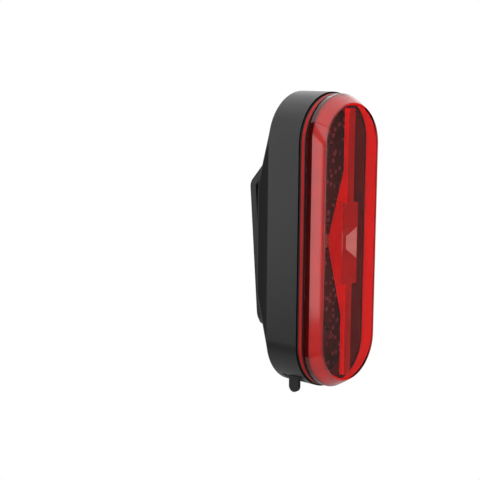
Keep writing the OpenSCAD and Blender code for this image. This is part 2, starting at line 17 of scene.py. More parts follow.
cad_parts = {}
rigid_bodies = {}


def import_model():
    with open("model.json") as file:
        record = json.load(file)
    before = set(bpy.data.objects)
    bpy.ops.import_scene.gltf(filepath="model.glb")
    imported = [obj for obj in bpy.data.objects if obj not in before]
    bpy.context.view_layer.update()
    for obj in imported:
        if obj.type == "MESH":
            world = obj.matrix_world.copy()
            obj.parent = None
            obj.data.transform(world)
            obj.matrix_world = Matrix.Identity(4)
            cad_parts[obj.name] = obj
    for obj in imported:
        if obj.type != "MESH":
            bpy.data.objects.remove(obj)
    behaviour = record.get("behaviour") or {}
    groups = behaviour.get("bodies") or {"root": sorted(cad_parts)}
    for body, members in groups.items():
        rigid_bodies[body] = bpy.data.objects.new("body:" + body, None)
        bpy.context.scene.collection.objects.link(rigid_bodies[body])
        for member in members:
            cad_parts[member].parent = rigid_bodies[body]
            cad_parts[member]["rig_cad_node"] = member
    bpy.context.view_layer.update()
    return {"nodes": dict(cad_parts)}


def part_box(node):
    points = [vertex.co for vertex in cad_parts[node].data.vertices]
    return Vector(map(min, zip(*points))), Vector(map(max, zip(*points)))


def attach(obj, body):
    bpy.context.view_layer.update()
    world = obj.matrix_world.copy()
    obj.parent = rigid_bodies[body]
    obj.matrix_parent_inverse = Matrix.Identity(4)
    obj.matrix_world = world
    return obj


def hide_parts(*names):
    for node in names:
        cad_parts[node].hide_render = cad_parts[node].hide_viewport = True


bl_info = {
    "name": "Bike Rear Light",
    "version": (1, 0, 0),
    "blender": (4, 5, 0),
    "location": "3D View > Sidebar > Rear Light",
    "description": "Dresses the solids of a clip-on bicycle rear light",
    "category": "Object",
}

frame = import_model()
NODES = frame["nodes"]
LENS_LOW, LENS_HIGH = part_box("front_lens")
HOUSING_LOW, HOUSING_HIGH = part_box("rear_housing")
GUIDE_LOW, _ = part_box("light_guide")
MM = 0.001
# Seam plane between the lens and the housing
SEAM_Y = HOUSING_LOW.y
# Places nearer to each other than this are one place
NEAR = 1e-6

# Copies of the solids: width of merged doubles, and the angle below which faces are one
MERGE_WIDTH = 0.002 * MM
FLAT_ANGLE = math.radians(0.2)
# Rounded edges: width, steps and the least angle in degrees
LENS_ROUNDING = (0.10 * MM, 2, 12)
GUIDE_ROUNDING = (0.12 * MM, 2, 25)
COVER_ROUNDING = (0.12 * MM, 2, 40)
BUTTON_ROUNDING = (0.18 * MM, 3, 40)
CLIP_ROUNDING = (0.20 * MM, 3, 35)
# Steps over the rounding of the lens's front edge
FRONT_EDGE_STEPS = 4
# Edges sharper than this many degrees stay hard in the shading
HOUSING_HARD = 28
LENS_HARD = 15
GUIDE_HARD = 28
SMALL_HARD = 30
# Shading of the raised back: reach, least likeness of direction, and direction of the flat
BACK_REACH = 0.08 * MM
BACK_LIKENESS = 0.9
BACK_FLAT = 0.97

# Light guide: depths behind the front of its solid
RIB_DEPTH = 1.4 * MM
NOTCH_DEPTH = 2.6 * MM
PIN_ROOT = 4.2 * MM
PIN_DEPTH = 8.0 * MM
# Light guide: margin behind the rib's face, and how far before its solid the notch may lie
RIB_MARGIN = 0.1 * MM
NOTCH_FRONT = 0.4 * MM
# Light guide: distances from its middle
NOTCH_FLOOR_X = 0.9 * MM
NOTCH_FLOOR_Z = 2.0 * MM
NOTCH_X = 3.4 * MM
NOTCH_Z = 5.0 * MM
PIN_X = 1.2 * MM
PIN_Z = (2.0 * MM, 5.0 * MM)
V_START = (21.0 * MM, 22.0 * MM)
RIB_END = 34.0 * MM
# Light guide: least area of a facet of the notch, and its slants in depth and height
NOTCH_AREA = 0.5 * MM * MM
NOTCH_SLANT = (0.15, 0.97)
NOTCH_SLANT_Z = 0.3
# Light guide: how much a flank looks sideways
FLANK_TURN = 0.5

# Camera
SENSOR_WIDTH = 36.0
CLIP_START = 0.01
# Soft lamps: name, place, the point it faces, width, height and radiance
LAMPS = (
    ("softbox_left", (-0.60, -0.41, 0.195), (0, -0.41, 0.195), 0.80, 0.69, 1.8),
    ("striplight", (-0.60, 0.11, 0.05), (0, 0.11, 0.05), 0.12, 0.40, 2.2),
    ("softbox_top", (0, 0.48, 0.62), (0, 0.48, 0), 1.36, 0.54, 1.4),
    ("softbox_over", (0.15, 0.01, 0.62), (0.15, 0.01, 0), 1.60, 0.36, 1.4),
    ("softbox_wall", (-0.372, 0.335, 0.11), (0, 0, 0.11), 0.16, 0.50, 1.9),
    ("softbox_front", (0.17, -0.57, -0.09), (0, 0, -0.09), 0.25, 0.60, 0.35),
    ("softbox_right", (0.85, 0.50, 0.48), (0, 0, 0), 0.6, 0.6, 1.0),
)
# Room: its level on matt surfaces, its lowest and highest level in glossy ones,
# and the cosines to the camera's way between which the latter rises
ROOM_MATT = 0.22
ROOM_GLOSSY = (0.06, 0.40)
ROOM_RISE = (0.5, 0.95)
# Floor: its grey, and its level in glossy surfaces
FLOOR_GREY = (0.25, 0.25, 0.25, 1)
FLOOR_GLOSSY = 0.3


class LensSizes(bpy.types.PropertyGroup):
    """Sizes of the red cover"""

    arc_steps: bpy.props.IntProperty(
        name="Arc steps", description="Points around the outline", default=162, min=30
    )
    straight: bpy.props.FloatProperty(
        name="Straight length",
        description="Length of the straight sides",
        default=0.0528,
        unit="LENGTH",
    )
    flange_r: bpy.props.FloatProperty(
        name="Flange radius",
        description="Half the width of the flange",
        default=0.0132,
        unit="LENGTH",
    )
    flange_t: bpy.props.FloatProperty(
        name="Flange thickness",
        description="Thickness of the flange",
        default=0.0013,
        unit="LENGTH",
    )
    seal_t: bpy.props.FloatProperty(
        name="Seal thickness",
        description="Gap between housing and flange that the seal fills",
        default=0.0005,
        unit="LENGTH",
    )
    step_r: bpy.props.FloatProperty(
        name="Step radius",
        description="Half the width where the lower facet leaves the flange",
        default=0.01245,
        unit="LENGTH",
    )
    crease_r: bpy.props.FloatProperty(
        name="Crease radius",
        description="Half the width at the crease between the facets",
        default=0.0122,
        unit="LENGTH",
    )
    crease_depth: bpy.props.FloatProperty(
        name="Crease depth",
        description="Distance of the crease in front of the seam",
        default=0.00325,
        unit="LENGTH",
    )
    face_r: bpy.props.FloatProperty(
        name="Face radius",
        description="Half the width of the flat face",
        default=0.0111,
        unit="LENGTH",
    )
    edge_r: bpy.props.FloatProperty(
        name="Edge rounding",
        description="Rounding of the front edge",
        default=0.00028,
        unit="LENGTH",
    )
    wall: bpy.props.FloatProperty(
        name="Wall",
        description="Wall thickness",
        default=0.0010,
        unit="LENGTH",
    )
    skirt_r: bpy.props.FloatProperty(
        name="Skirt radius",
        description="Half the width of the skirt inside the housing",
        default=0.01185,
        unit="LENGTH",
    )
    skirt_t: bpy.props.FloatProperty(
        name="Skirt thickness",
        description="Thickness of the skirt",
        default=0.0011,
        unit="LENGTH",
    )
    end_step: bpy.props.FloatProperty(
        name="End step",
        description="How much further the lower facet starts at the ends",
        default=0.0007,
        unit="LENGTH",
    )
    end_crease: bpy.props.FloatProperty(
        name="End crease",
        description="How much further the crease lies at the ends",
        default=0.0010,
        unit="LENGTH",
    )
    end_face: bpy.props.FloatProperty(
        name="End of face",
        description="How much earlier the flat face stops at the ends",
        default=0.0003,
        unit="LENGTH",
    )
    bulge: bpy.props.FloatProperty(
        name="Bulge",
        description="How far the upper facet swells in its middle",
        default=0.00006,
        unit="LENGTH",
    )
    # Painted shade: how far the dark red inside the skirt reaches in front of the flange
    rim_h: bpy.props.FloatProperty(
        name="Rim height",
        description="How far the skirt's dark inside reaches in front of the flange",
        default=0.0007,
        unit="LENGTH",
    )
    line_back: bpy.props.FloatProperty(
        name="Line back",
        description="Plain edge of the flange behind its red line",
        default=0.0002,
        unit="LENGTH",
    )
    line_front: bpy.props.FloatProperty(
        name="Line front",
        description="Plain edge of the flange in front of its red line",
        default=0.0003,
        unit="LENGTH",
    )
    inner_back: bpy.props.FloatProperty(
        name="Inner back",
        description="How far the upper facet's inside reaches behind the crease",
        default=0.0005,
        unit="LENGTH",
    )
    inner_extra: bpy.props.FloatProperty(
        name="Inner extra",
        description="Extra wall of the upper facet at the crease",
        default=0.00025,
        unit="LENGTH",
    )
    rim_wall: bpy.props.FloatProperty(
        name="Rim wall",
        description="Wall of the upper facet at the face",
        default=0.0005,
        unit="LENGTH",
    )


class BackSizes(bpy.types.PropertyGroup):
    """Sizes of the housing's raised back"""

    steps: bpy.props.IntProperty(
        name="Steps", description="Rings over the rounding", default=12, min=4
    )
    arc_steps: bpy.props.IntProperty(
        name="Arc steps", description="Points around the outline", default=162, min=30
    )
    depth: bpy.props.FloatProperty(
        name="Depth",
        description="Height of the raised back over the side wall",
        default=0.0056,
        unit="LENGTH",
    )
    width: bpy.props.FloatProperty(
        name="Width",
        description="Width of the flat back",
        default=0.0216,
        unit="LENGTH",
    )
    taper: bpy.props.FloatProperty(
        name="Taper",
        description="How far the sides lean in below the rounding",
        default=0.0012,
        unit="LENGTH",
    )
    rounding: bpy.props.FloatProperty(
        name="Rounding",
        description="Height of the rounding around the flat back",
        default=0.0018,
        unit="LENGTH",
    )
    slope: bpy.props.FloatProperty(
        name="Slope",
        description="How far each end slopes in",
        default=0.0170,
        unit="LENGTH",
    )


class Finishes(bpy.types.PropertyGroup):
    """Colours of the light"""

    housing: bpy.props.FloatVectorProperty(
        name="Housing",
        description="Black of the moulded housing",
        subtype="COLOR",
        default=(0.0055, 0.0055, 0.0057),
    )
    clip: bpy.props.FloatVectorProperty(
        name="Clip",
        description="Black of the spring clip",
        subtype="COLOR",
        default=(0.012, 0.012, 0.0125),
    )
    button: bpy.props.FloatVectorProperty(
        name="Button",
        description="Black of the button",
        subtype="COLOR",
        default=(0.028, 0.028, 0.029),
    )
    rubber: bpy.props.FloatVectorProperty(
        name="Rubber",
        description="Black of the seal and the cover",
        subtype="COLOR",
        default=(0.014, 0.014, 0.014),
    )
    lens: bpy.props.FloatVectorProperty(
        name="Lens",
        description="Red of the clear cover",
        subtype="COLOR",
        default=(0.44, 0.013, 0.012),
    )
    lens_side: bpy.props.FloatVectorProperty(
        name="Lens sides",
        description="Red of the light-spreading side walls",
        subtype="COLOR",
        default=(0.30, 0.016, 0.014),
    )
    lens_front: bpy.props.FloatVectorProperty(
        name="Lens face",
        description="Lighter red of the thin front wall",
        subtype="COLOR",
        default=(0.96, 0.50, 0.48),
    )
    # Painted shade: a dark red put inside the skirt and on the guide's pins, where the clear red
    # plastic lies in shade
    lens_rim_painted_shade: bpy.props.FloatVectorProperty(
        name="Lens rim",
        description="Dark red of the skirt's inside",
        subtype="COLOR",
        default=(0.22, 0.010, 0.010),
    )
    lens_base: bpy.props.FloatVectorProperty(
        name="Lens base",
        description="Dull red of the flange's faces",
        subtype="COLOR",
        default=(0.07, 0.005, 0.005),
    )
    guide: bpy.props.FloatVectorProperty(
        name="Light guide",
        description="Tint of the frosted light guide",
        subtype="COLOR",
        default=(0.36, 0.009, 0.008),
    )
    # Painted reflection: the notch's facets are pale, standing in for the white surroundings
    # they mirror
    notch: bpy.props.FloatVectorProperty(
        name="Notch",
        description="Pale facets of the guide's notch",
        subtype="COLOR",
        default=(0.90, 0.88, 0.86),
    )
    board: bpy.props.FloatVectorProperty(
        name="Board",
        description="Dark solder mask of the board",
        subtype="COLOR",
        default=(0.008, 0.012, 0.010),
    )
    pads: bpy.props.FloatVectorProperty(
        name="Pads",
        description="Pale pads of the board",
        subtype="COLOR",
        default=(0.22, 0.12, 0.20),
    )
    lamp: bpy.props.FloatVectorProperty(
        name="Lamp",
        description="Body of the lamp",
        subtype="COLOR",
        default=(0.82, 0.78, 0.62),
    )
    chip: bpy.props.FloatVectorProperty(
        name="Chips",
        description="Black of the chips and the switch",
        subtype="COLOR",
        default=(0.03, 0.03, 0.033),
    )
    capacitor: bpy.props.FloatVectorProperty(
        name="Capacitors",
        description="Tan of the capacitors",
        subtype="COLOR",
        default=(0.62, 0.48, 0.36),
    )
    connector: bpy.props.FloatVectorProperty(
        name="Connector",
        description="Cream of the battery connector",
        subtype="COLOR",
        default=(0.78, 0.74, 0.64),
    )
    screw: bpy.props.FloatVectorProperty(
        name="Screws",
        description="Black of the screws",
        subtype="COLOR",
        default=(0.05, 0.05, 0.055),
    )
    foil: bpy.props.FloatVectorProperty(
        name="Foil",
        description="Pouch foil of the cell",
        subtype="COLOR",
        default=(0.62, 0.63, 0.65),
    )
    foam: bpy.props.FloatVectorProperty(
        name="Foam",
        description="Grey of the foam pad",
        subtype="COLOR",
        default=(0.12, 0.12, 0.125),
    )
    lead: bpy.props.FloatVectorProperty(
        name="Lead",
        description="Red of the one lead",
        subtype="COLOR",
        default=(0.5, 0.02, 0.02),
    )
    steel: bpy.props.FloatVectorProperty(
        name="Steel",
        description="Steel of the charging socket",
        subtype="COLOR",
        default=(0.6, 0.61, 0.62),
    )
    plunger: bpy.props.FloatVectorProperty(
        name="Plunger",
        description="Black of the switch's plunger",
        subtype="COLOR",
        default=(0.03, 0.03, 0.03),
    )
    # Painted light: the upper facet's inside is a lighter copy of the lens red, standing in for
    # light that passes through the wall
    lens_painted_light: bpy.props.FloatProperty(
        name="Lens glow",
        description="How much brighter than the lens the upper facet's inside is",
        default=1.95,
    )
    # Painted light: the guide's flanks are a lighter copy of the guide's tint, standing in for
    # the light that falls on them
    painted_flank_light: bpy.props.FloatProperty(
        name="Guide glow",
        description="How much brighter than the rib the guide's flanks are",
        default=2.3,
    )


class GuideSizes(bpy.types.PropertyGroup):
    """How the light guide departs from its solid"""

    forward: bpy.props.FloatProperty(
        name="Forward",
        description="How much nearer to the face the rib lies",
        default=0.00045,
        unit="LENGTH",
    )
    longer: bpy.props.FloatProperty(
        name="Longer",
        description="How much longer each end of the rib is",
        default=0.0013,
        unit="LENGTH",
    )
    notch_rise: bpy.props.FloatProperty(
        name="Notch rise",
        description="How much shallower the notch is",
        default=0.00065,
        unit="LENGTH",
    )
    v_depth: bpy.props.FloatProperty(
        name="V depth",
        description="Depth of the V against the solid's",
        default=0.92,
        subtype="FACTOR",
    )
    v_reach: bpy.props.FloatProperty(
        name="V reach",
        description="Reach of the V against the solid's",
        default=0.9,
        subtype="FACTOR",
    )


class StageSizes(bpy.types.PropertyGroup):
    """Camera and studio"""

    azimuth: bpy.props.FloatProperty(
        name="Azimuth",
        description="Turn of the camera round the light",
        subtype="ANGLE",
        default=math.radians(-51.57),
    )
    elevation: bpy.props.FloatProperty(
        name="Elevation",
        description="Height of the camera above the horizon",
        subtype="ANGLE",
        default=math.radians(8.42),
    )
    roll: bpy.props.FloatProperty(
        name="Roll",
        description="Turn of the camera about its own axis",
        subtype="ANGLE",
        default=math.radians(1.16),
    )
    distance: bpy.props.FloatProperty(
        name="Distance",
        description="Distance of the camera from the seam's middle",
        unit="LENGTH",
        default=0.297,
    )
    focal: bpy.props.FloatProperty(
        name="Lens",
        description="Focal length in millimetres on a 36 mm sensor",
        default=82.5,
    )
    shift_x: bpy.props.FloatProperty(
        name="Shift across",
        description="Shift of the picture to the side, in picture widths",
        default=-0.187,
    )
    shift_y: bpy.props.FloatProperty(
        name="Shift up",
        description="Shift of the picture upwards, in picture widths",
        default=0.002,
    )
    floor_z: bpy.props.FloatProperty(
        name="Floor",
        description="Height of the pale floor",
        unit="LENGTH",
        default=-0.30,
    )
    floor_size: bpy.props.FloatProperty(
        name="Floor size",
        description="Width of the pale floor",
        unit="LENGTH",
        default=0.8,
    )


def finishes():
    """Colours that the sidebar holds."""
    return bpy.context.scene.rear_light_finishes


# Selecting and shaping


def deselect_all():
    """Leaves edit mode with nothing selected."""
    if bpy.context.mode != "OBJECT":
        bpy.ops.object.mode_set(mode="OBJECT")
    bpy.ops.object.select_all(action="DESELECT")


def make_active(obj):
    """Selects one object alone."""
    deselect_all()
    obj.select_set(True)
    bpy.context.view_layer.objects.active = obj


def pick_verts(obj, test):
    """Selects the vertices that pass a test on their place."""
    bm = bmesh.from_edit_mesh(obj.data)
    for v in bm.verts:
        v.select_set(False)
    for v in bm.verts:
        if test(v):
            v.select_set(True)
    bm.select_flush_mode()
    bmesh.update_edit_mesh(obj.data)


def pick_edges(obj, test):
    """Selects the edges that pass a test."""
    bm = bmesh.from_edit_mesh(obj.data)
    for v in bm.verts:
        v.select_set(False)
    bm.select_flush_mode()
    for e in bm.edges:
        if test(e):
            e.select_set(True)
    bmesh.update_edit_mesh(obj.data)


def smooth_by_angle(obj, degrees):
    """Shades a piece smooth, but for edges sharper than an angle."""
    make_active(obj)
    bpy.ops.object.shade_smooth_by_angle(angle=math.radians(degrees))


def round_edges(obj, width, segments, degrees):
    """Rounds every edge sharper than an angle."""
    make_active(obj)
    bpy.ops.object.modifier_add(type="BEVEL")
    mod = obj.modifiers[-1]
    mod.width = width
    mod.segments = segments
    mod.limit_method = "ANGLE"
    mod.angle_limit = math.radians(degrees)
    mod.use_clamp_overlap = True
    mod.miter_outer = "MITER_ARC"
    bpy.ops.object.modifier_apply(modifier=mod.name)


def follow_large_faces(obj):
    """Lets the shading follow the large faces, so that cut faces don't show."""
    make_active(obj)
    bpy.ops.object.modifier_add(type="WEIGHTED_NORMAL")
    mod = obj.modifiers[-1]
    mod.mode = "FACE_AREA_WITH_ANGLE"
    mod.keep_sharp = True
    bpy.ops.object.modifier_apply(modifier=mod.name)


def borrow_normals(piece, source, reach):
    """Shades the faces that lie on a smooth source as that source."""
    verts = [v.co.copy() for v in source.data.vertices]
    polys = [tuple(p.vertices) for p in source.data.polygons]
    soft = [v.normal.copy() for v in source.data.vertices]
    tree = BVHTree.FromPolygons(verts, polys)
    mesh = piece.data
    normals = [n.vector.copy() for n in mesh.corner_normals]
    for face in mesh.polygons:
        _, facing, _, far = tree.find_nearest(face.center)
        likeness = abs(facing.dot(face.normal))
        if far > reach or likeness < BACK_LIKENESS or face.normal.y > BACK_FLAT:
            continue
        for corner in face.loop_indices:
            place = mesh.vertices[mesh.loops[corner].vertex_index].co
            spot, _, index, _ = tree.find_nearest(place)
            weights = poly_3d_calc([verts[i] for i in polys[index]], spot)
            blend = Vector()
            for i, weight in zip(polys[index], weights):
                blend += weight * soft[i]
            if blend.dot(face.normal) < 0:
                blend.negate()
            normals[corner] = blend.normalized()
    mesh.normals_split_custom_set(normals)


def copy_of_node(node, name):
    """A merged copy of a solid, ready to be rounded and shaded."""
    make_active(NODES[node])
    bpy.ops.object.duplicate()
    piece = bpy.context.view_layer.objects.active
    piece.name = name
    piece.data.name = name
    del piece["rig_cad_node"]
    bpy.ops.object.parent_clear(type="CLEAR_KEEP_TRANSFORM")
    bpy.ops.object.mode_set(mode="EDIT")
    bpy.ops.mesh.select_all(action="SELECT")
    bpy.ops.mesh.remove_doubles(threshold=MERGE_WIDTH)
    bpy.ops.mesh.dissolve_limited(angle_limit=FLAT_ANGLE)
    bpy.ops.object.mode_set(mode="OBJECT")
    piece.data.materials.clear()
    return piece


def seat(piece, body, slot, *nodes):
    """Lets a piece ride a body and stand for its solids."""
    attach(piece, body)
    if nodes:
        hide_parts(*nodes)


def dress_node(node, material):
    """Gives a solid its finish."""
    obj = NODES[node]
    obj.data.materials.clear()
    obj.data.materials.append(material)


def carry_outline(obj, path):
    """Extrudes the selected outline along a path.

    Each stop holds radius, depth, half straight length and the material slot of the wall
    that ends there.
    """
    for (r0, y0, half0, _), (r1, y1, half1, slot) in zip(path, path[1:]):
        walls = len(bmesh.from_edit_mesh(obj.data).faces)
        bpy.ops.mesh.extrude_region_move(
            TRANSFORM_OT_translate={"value": (0, y1 - y0, 0)}
        )
        bm = bmesh.from_edit_mesh(obj.data)
        bm.verts.index_update()
        bm.faces.ensure_lookup_table()
        for face in bm.faces[walls:]:
            face.material_index = slot
        ring = {v.index for v in bm.verts if v.select}
        scale = r1 / r0
        for side in (1, -1):
            pick_verts(obj, lambda v: v.index in ring and v.co.z * side > 0)
            bpy.ops.transform.resize(
                value=(scale, 1, scale), center_override=(0, y1, side * half0)
            )
            bpy.ops.transform.translate(value=(0, 0, side * (half1 - half0)))
        pick_verts(obj, lambda v: v.index in ring)


def cap_outline(obj, slot):
    """Closes the selected outline with a face in a material slot."""
    bpy.ops.mesh.edge_face_add()
    bm = bmesh.from_edit_mesh(obj.data)
    bm.faces.ensure_lookup_table()
    bm.faces[-1].material_index = slot
    bmesh.update_edit_mesh(obj.data)


def start_outline(name, radius, y, half_straight, steps):
    """A round-ended outline at a depth, open, in edit mode."""
    deselect_all()
    bpy.ops.mesh.primitive_circle_add(
        vertices=steps,
        radius=radius,
        fill_type="NOTHING",
        location=(0, y, 0),
        rotation=(math.pi / 2, 0, 0),
    )
    obj = bpy.context.view_layer.objects.active
    obj.name = name
    obj.data.name = name
    bpy.ops.object.transform_apply(location=True, rotation=True, scale=True)
    bpy.ops.object.mode_set(mode="EDIT")
    for side in (1, -1):
        pick_verts(obj, lambda v: v.co.z * side > 0)
        bpy.ops.transform.translate(value=(0, 0, side * half_straight))
    bpy.ops.mesh.select_all(action="SELECT")
    return obj


# Materials


def new_material(name):
    """A material with its node tree and its main shader."""
    mat = bpy.data.materials.new(name)
    mat.use_nodes = True
    tree = mat.node_tree
    return mat, tree, tree.nodes["Principled BSDF"]


def add(tree, kind, **values):
    """Adds a node; values name its sockets or its own settings."""
    node = tree.nodes.new(kind)
    for key, value in values.items():
        if hasattr(node, key):
            setattr(node, key, value)
        else:
            node.inputs[key.replace("_", " ")].default_value = value
    return node


def object_coords(tree):
    return add(tree, "ShaderNodeTexCoord").outputs["Object"]


def noise(tree, coords, scale, detail=4.0, rough=0.55):
    """A cloudy value; the scale counts clouds in a metre."""
    tex = add(tree, "ShaderNodeTexNoise", Scale=scale, Detail=detail, Roughness=rough)
    tree.links.new(coords, tex.inputs["Vector"])
    return tex.outputs["Fac"]


def spread(tree, fac, low, high, start=0.3, end=0.7):
    """Maps a texture value to a range."""
    node = add(tree, "ShaderNodeMapRange")
    node.inputs["From Min"].default_value = start
    node.inputs["From Max"].default_value = end
    node.inputs["To Min"].default_value = low
    node.inputs["To Max"].default_value = high
    tree.links.new(fac, node.inputs["Value"])
    return node.outputs["Result"]


def two_tone(tree, fac, dark, light, start=0.3, end=0.7):
    """Fades between two colours along a texture value."""
    ramp = add(tree, "ShaderNodeValToRGB")
    ramp.color_ramp.elements[0].position = start
    ramp.color_ramp.elements[0].color = (*dark, 1)
    ramp.color_ramp.elements[1].position = end
    ramp.color_ramp.elements[1].color = (*light, 1)
    tree.links.new(fac, ramp.inputs["Fac"])
    return ramp.outputs["Color"]


def shade(colour, factor):
    """A darker or lighter colour."""
    return tuple(min(1.0, c * factor) for c in colour)


def tint(tree, shader, fac, colour, dark, light):
    """Colours a shader in two shades along a texture value."""
    colours = two_tone(tree, fac, shade(colour, dark), shade(colour, light))
    tree.links.new(colours, shader.inputs["Base Color"])
    return colours


def roughen(tree, shader, fac, low, high):
    """Varies a shader's roughness along a texture value."""
    tree.links.new(spread(tree, fac, low, high), shader.inputs["Roughness"])


def bump(tree, shader, height, strength, distance):
    """Lets a texture value raise and lower the surface."""
    node = add(tree, "ShaderNodeBump", Strength=strength, Distance=distance)
    tree.links.new(height, node.inputs["Height"])
    tree.links.new(node.outputs["Normal"], shader.inputs["Normal"])


def moulded(name, colour, rough, grain=9000.0, depth=0.25, shine=0.45):
    """Moulded polymer with a fine eroded grain and faint flow clouds."""
    mat, tree, shader = new_material(name)
    coords = object_coords(tree)
    clouds = noise(tree, coords, scale=160.0, detail=3.0)
    fine = noise(tree, coords, scale=grain, detail=3.0, rough=0.6)
    tint(tree, shader, clouds, colour, dark=0.88, light=1.12)
    roughen(tree, shader, fine, low=rough - 0.05, high=rough + 0.05)
    shader.inputs["Specular IOR Level"].default_value = shine
    bump(tree, shader, fine, strength=depth, distance=0.02 * MM)
    return mat


def red_clear(name, colour, shine=1.0, rough=0.015):
    """Clear red polycarbonate with a faint moulding ripple."""
    mat, tree, shader = new_material(name)
    coords = object_coords(tree)
    ripple = noise(tree, coords, scale=260.0, detail=2.0)
    tint(tree, shader, ripple, colour, dark=0.97, light=1.03)
    roughen(tree, shader, ripple, low=rough, high=rough + 0.025)
    shader.inputs["Transmission Weight"].default_value = 1.0
    shader.inputs["IOR"].default_value = 1.56
    shader.inputs["Specular Tint"].default_value = (shine, shine, shine, 1)
    bump(tree, shader, ripple, strength=0.02, distance=0.1 * MM)
    return mat


def spread_through(tree, shader, colours):
    """Lets as much light through a finish as it throws back."""
    through = add(tree, "ShaderNodeBsdfTranslucent")
    tree.links.new(colours, through.inputs["Color"])
    both = add(tree, "ShaderNodeAddShader")
    tree.links.new(shader.outputs[0], both.inputs[0])
    tree.links.new(through.outputs[0], both.inputs[1])
    tree.links.new(both.outputs[0], tree.nodes["Material Output"].inputs["Surface"])


def red_frost(name, colour):
    """Red side wall that spreads light to both sides under a glossy skin."""
    mat, tree, shader = new_material(name)
    coords = object_coords(tree)
    clouds = noise(tree, coords, scale=300.0, detail=3.0)
    tint(tree, shader, clouds, colour, dark=0.94, light=1.06)
    roughen(tree, shader, clouds, low=0.50, high=0.62)
    shader.inputs["Specular IOR Level"].default_value = 0.1
    shader.inputs["Transmission Weight"].default_value = 0.5
    shader.inputs["Coat Weight"].default_value = 1.0
    shader.inputs["Coat Roughness"].default_value = 0.08
    glow = two_tone(tree, clouds, shade(colour, 0.65), shade(colour, 0.75))
    spread_through(tree, shader, glow)
    return mat


def frosted(name, colour):
    """Red polymer that glows with the light it catches."""
    mat, tree, shader = new_material(name)
    coords = object_coords(tree)
    clouds = noise(tree, coords, scale=500.0, detail=3.0)
    fine = noise(tree, coords, scale=7000.0, detail=3.0)
    colours = tint(tree, shader, clouds, colour, dark=0.92, light=1.04)
    roughen(tree, shader, fine, low=0.22, high=0.34)
    shader.inputs["Specular IOR Level"].default_value = 0.1
    bump(tree, shader, fine, strength=0.15, distance=0.02 * MM)
    spread_through(tree, shader, colours)
    return mat


def board_mask(name, dark, light):
    """Dark solder mask with pale pads here and there."""
    mat, tree, shader = new_material(name)
    coords = object_coords(tree)
    cells = add(tree, "ShaderNodeTexVoronoi", Scale=560.0, distance="CHEBYCHEV")
    tree.links.new(coords, cells.inputs["Vector"])
    pads = spread(tree, cells.outputs["Distance"], low=1.0, high=0.0, start=0.26, end=0.32)
    clouds = noise(tree, coords, scale=420.0, detail=2.0)
    gate = spread(tree, clouds, low=0.0, high=1.0, start=0.42, end=0.47)
    both = add(tree, "ShaderNodeMath", operation="MULTIPLY")
    tree.links.new(pads, both.inputs[0])
    tree.links.new(gate, both.inputs[1])
    mask = two_tone(tree, both.outputs[0], dark, light, start=0.2, end=0.8)
    tree.links.new(mask, shader.inputs["Base Color"])
    roughen(tree, shader, clouds, low=0.3, high=0.42)
    bump(tree, shader, both.outputs[0], strength=0.4, distance=0.04 * MM)
    return mat


def plain_part(name, colour, rough, metal=0.0, grain=3000.0, depth=0.1):
    """Small bought-in part: a base finish with a fine grain."""
    mat, tree, shader = new_material(name)
    coords = object_coords(tree)
    fine = noise(tree, coords, scale=grain, detail=3.0)
    tint(tree, shader, fine, colour, dark=0.85, light=1.15)
    roughen(tree, shader, fine, low=rough - 0.06, high=rough + 0.06)
    shader.inputs["Metallic"].default_value = metal
    bump(tree, shader, fine, strength=depth, distance=0.03 * MM)
    return mat


def foil(name, colour):
    """Pouch foil of the cell, slightly creased."""
    mat, tree, shader = new_material(name)
    coords = object_coords(tree)
    crease = noise(tree, coords, scale=240.0, detail=6.0, rough=0.65)
    fine = noise(tree, coords, scale=4000.0, detail=2.0)
    tint(tree, shader, fine, colour, dark=0.9, light=1.05)
    roughen(tree, shader, crease, low=0.28, high=0.46)
    shader.inputs["Metallic"].default_value = 0.85
    bump(tree, shader, crease, strength=0.35, distance=0.2 * MM)
    return mat


# Pieces


